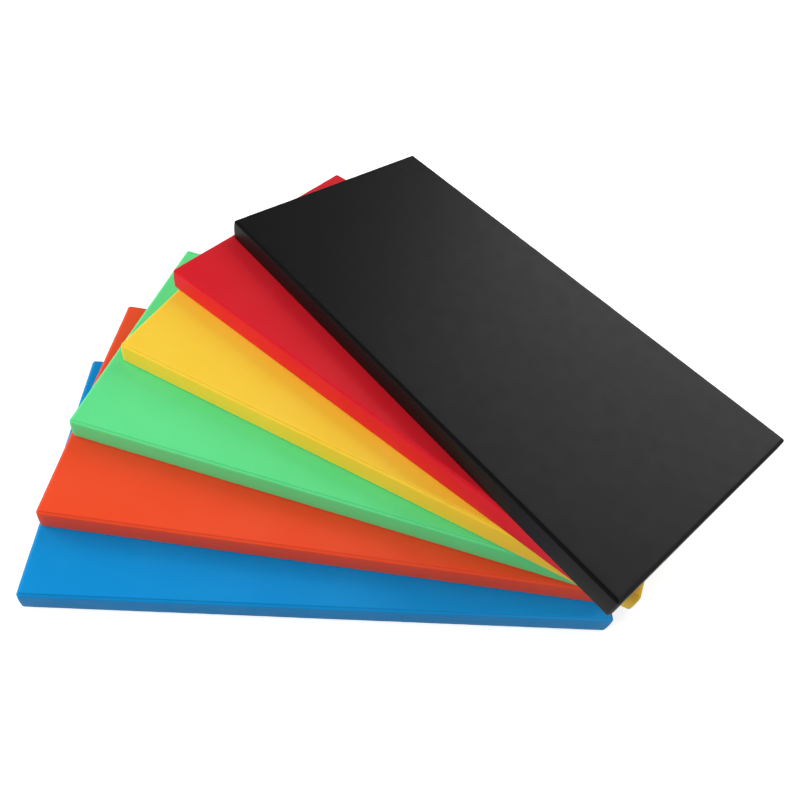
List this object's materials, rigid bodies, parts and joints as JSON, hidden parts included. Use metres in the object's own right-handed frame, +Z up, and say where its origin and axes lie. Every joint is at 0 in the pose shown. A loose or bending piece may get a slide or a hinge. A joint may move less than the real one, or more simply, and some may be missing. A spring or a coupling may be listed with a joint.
{
  "type": "crash landing mat set",
  "caption": "Flat vinyl-covered foam crash landing mats with boxed sides and zipped covers, laid on each other in an open fan.",
  "frame": {"origin": "centre of the underside of the lowest mat, on the floor", "axes": "+X along the length of the lowest mat, towards the corner where the fan comes together; +Y towards its zip; +Z up"},
  "size_m": [1.5625, 1.3244, 0.343],
  "materials": {
    "blue_vinyl": "satin",
    "orange_vinyl": "satin",
    "green_vinyl": "satin",
    "yellow_vinyl": "satin",
    "red_vinyl": "satin",
    "black_vinyl": "satin",
    "foam": "matte",
    "zip_tape": "matte",
    "zip_coil": "satin",
    "nickel": "satin"
  },
  "bodies": {
    "blue_mat": {"blue_foam_core": "foam", "blue_base_panel": "blue_vinyl", "blue_side_band": "blue_vinyl", "blue_top_panel": "blue_vinyl", "blue_zip_tapes": "zip_tape", "blue_zip_coils": "zip_coil", "blue_zip_stops": "nickel"},
    "blue_slider": {"blue_zip_slider": "nickel"},
    "blue_pull": {"blue_zip_pull": "nickel"},
    "orange_mat": {"orange_foam_core": "foam", "orange_base_panel": "orange_vinyl", "orange_side_band": "orange_vinyl", "orange_top_panel": "orange_vinyl", "orange_zip_tapes": "zip_tape", "orange_zip_coils": "zip_coil", "orange_zip_stops": "nickel"},
    "orange_slider": {"orange_zip_slider": "nickel"},
    "orange_pull": {"orange_zip_pull": "nickel"},
    "green_mat": {"green_foam_core": "foam", "green_base_panel": "green_vinyl", "green_side_band": "green_vinyl", "green_top_panel": "green_vinyl", "green_zip_tapes": "zip_tape", "green_zip_coils": "zip_coil", "green_zip_stops": "nickel"},
    "green_slider": {"green_zip_slider": "nickel"},
    "green_pull": {"green_zip_pull": "nickel"},
    "yellow_mat": {"yellow_foam_core": "foam", "yellow_base_panel": "yellow_vinyl", "yellow_side_band": "yellow_vinyl", "yellow_top_panel": "yellow_vinyl", "yellow_zip_tapes": "zip_tape", "yellow_zip_coils": "zip_coil", "yellow_zip_stops": "nickel"},
    "yellow_slider": {"yellow_zip_slider": "nickel"},
    "yellow_pull": {"yellow_zip_pull": "nickel"},
    "red_mat": {"red_foam_core": "foam", "red_base_panel": "red_vinyl", "red_side_band": "red_vinyl", "red_top_panel": "red_vinyl", "red_zip_tapes": "zip_tape", "red_zip_coils": "zip_coil", "red_zip_stops": "nickel"},
    "red_slider": {"red_zip_slider": "nickel"},
    "red_pull": {"red_zip_pull": "nickel"},
    "black_mat": {"black_foam_core": "foam", "black_base_panel": "black_vinyl", "black_side_band": "black_vinyl", "black_top_panel": "black_vinyl", "black_zip_tapes": "zip_tape", "black_zip_coils": "zip_coil", "black_zip_stops": "nickel"},
    "black_slider": {"black_zip_slider": "nickel"},
    "black_pull": {"black_zip_pull": "nickel"}
  },
  "joints": [
    {"name": "blue_zip_slide", "type": "slide", "parent": "blue_mat", "child": "blue_slider", "axis": [1, 0, 0], "range_m": [0, 1.074]},
    {"name": "blue_pull_swing", "type": "hinge", "parent": "blue_slider", "child": "blue_pull", "pos_m": [-0.537, 0.30955, 0.0285], "axis": [0, 0, -1], "range_deg": [0, 180]},
    {"name": "orange_mat_turn", "type": "hinge", "parent": "blue_mat", "child": "orange_mat", "pos_m": [0.97048, -0.288, 0.0572], "axis": [0, 0, 1], "range_deg": [-5, 5.4]},
    {"name": "orange_zip_slide", "type": "slide", "parent": "orange_mat", "child": "orange_slider", "axis": [0.9956, -0.0941, 0], "range_m": [0, 1.074]},
    {"name": "orange_pull_swing", "type": "hinge", "parent": "orange_slider", "child": "orange_pull", "pos_m": [-0.47408, 0.44877, 0.0857], "axis": [0, 0, -1], "range_deg": [0, 180]},
    {"name": "green_mat_turn", "type": "hinge", "parent": "orange_mat", "child": "green_mat", "pos_m": [0.54496, -0.2105, 0.1144], "axis": [0, 0, 1], "range_deg": [-5, 9.6]},
    {"name": "green_zip_slide", "type": "slide", "parent": "green_mat", "child": "green_slider", "axis": [0.9659, -0.2588, 0], "range_m": [0, 1.074]},
    {"name": "green_pull_swing", "type": "hinge", "parent": "green_slider", "child": "green_pull", "pos_m": [-0.34986, 0.60947, 0.1429], "axis": [0, 0, -1], "range_deg": [0, 180]},
    {"name": "yellow_mat_turn", "type": "hinge", "parent": "green_mat", "child": "yellow_mat", "pos_m": [0.34523, -0.25138, 0.1716], "axis": [0, 0, 1], "range_deg": [-5, 11.5]},
    {"name": "yellow_zip_slide", "type": "slide", "parent": "yellow_mat", "child": "yellow_slider", "axis": [0.8949, -0.4462, 0], "range_m": [0, 1.074]},
    {"name": "yellow_pull_swing", "type": "hinge", "parent": "yellow_slider", "child": "yellow_pull", "pos_m": [-0.16428, 0.73077, 0.2001], "axis": [0, 0, -1], "range_deg": [0, 180]},
    {"name": "red_mat_turn", "type": "hinge", "parent": "yellow_mat", "child": "red_mat", "pos_m": [0.42824, -0.06687, 0.2288], "axis": [0, 0, 1], "range_deg": [-5, 12.9]},
    {"name": "red_zip_slide", "type": "slide", "parent": "red_mat", "child": "red_slider", "axis": [0.7727, -0.6347, 0], "range_m": [0, 1.074]},
    {"name": "red_pull_swing", "type": "hinge", "parent": "red_slider", "child": "red_pull", "pos_m": [0.02875, 0.84292, 0.2573], "axis": [0, 0, -1], "range_deg": [0, 180]},
    {"name": "black_mat_turn", "type": "hinge", "parent": "red_mat", "child": "black_mat", "pos_m": [0.33869, -0.16611, 0.286], "axis": [0, 0, 1], "range_deg": [-5, 11.4]},
    {"name": "black_zip_slide", "type": "slide", "parent": "black_mat", "child": "black_slider", "axis": [0.632, -0.7749, 0], "range_m": [0, 1.074]},
    {"name": "black_pull_swing", "type": "hinge", "parent": "black_slider", "child": "black_pull", "pos_m": [0.23431, 0.88428, 0.3145], "axis": [0, 0, -1], "range_deg": [0, 180]}
  ]
}
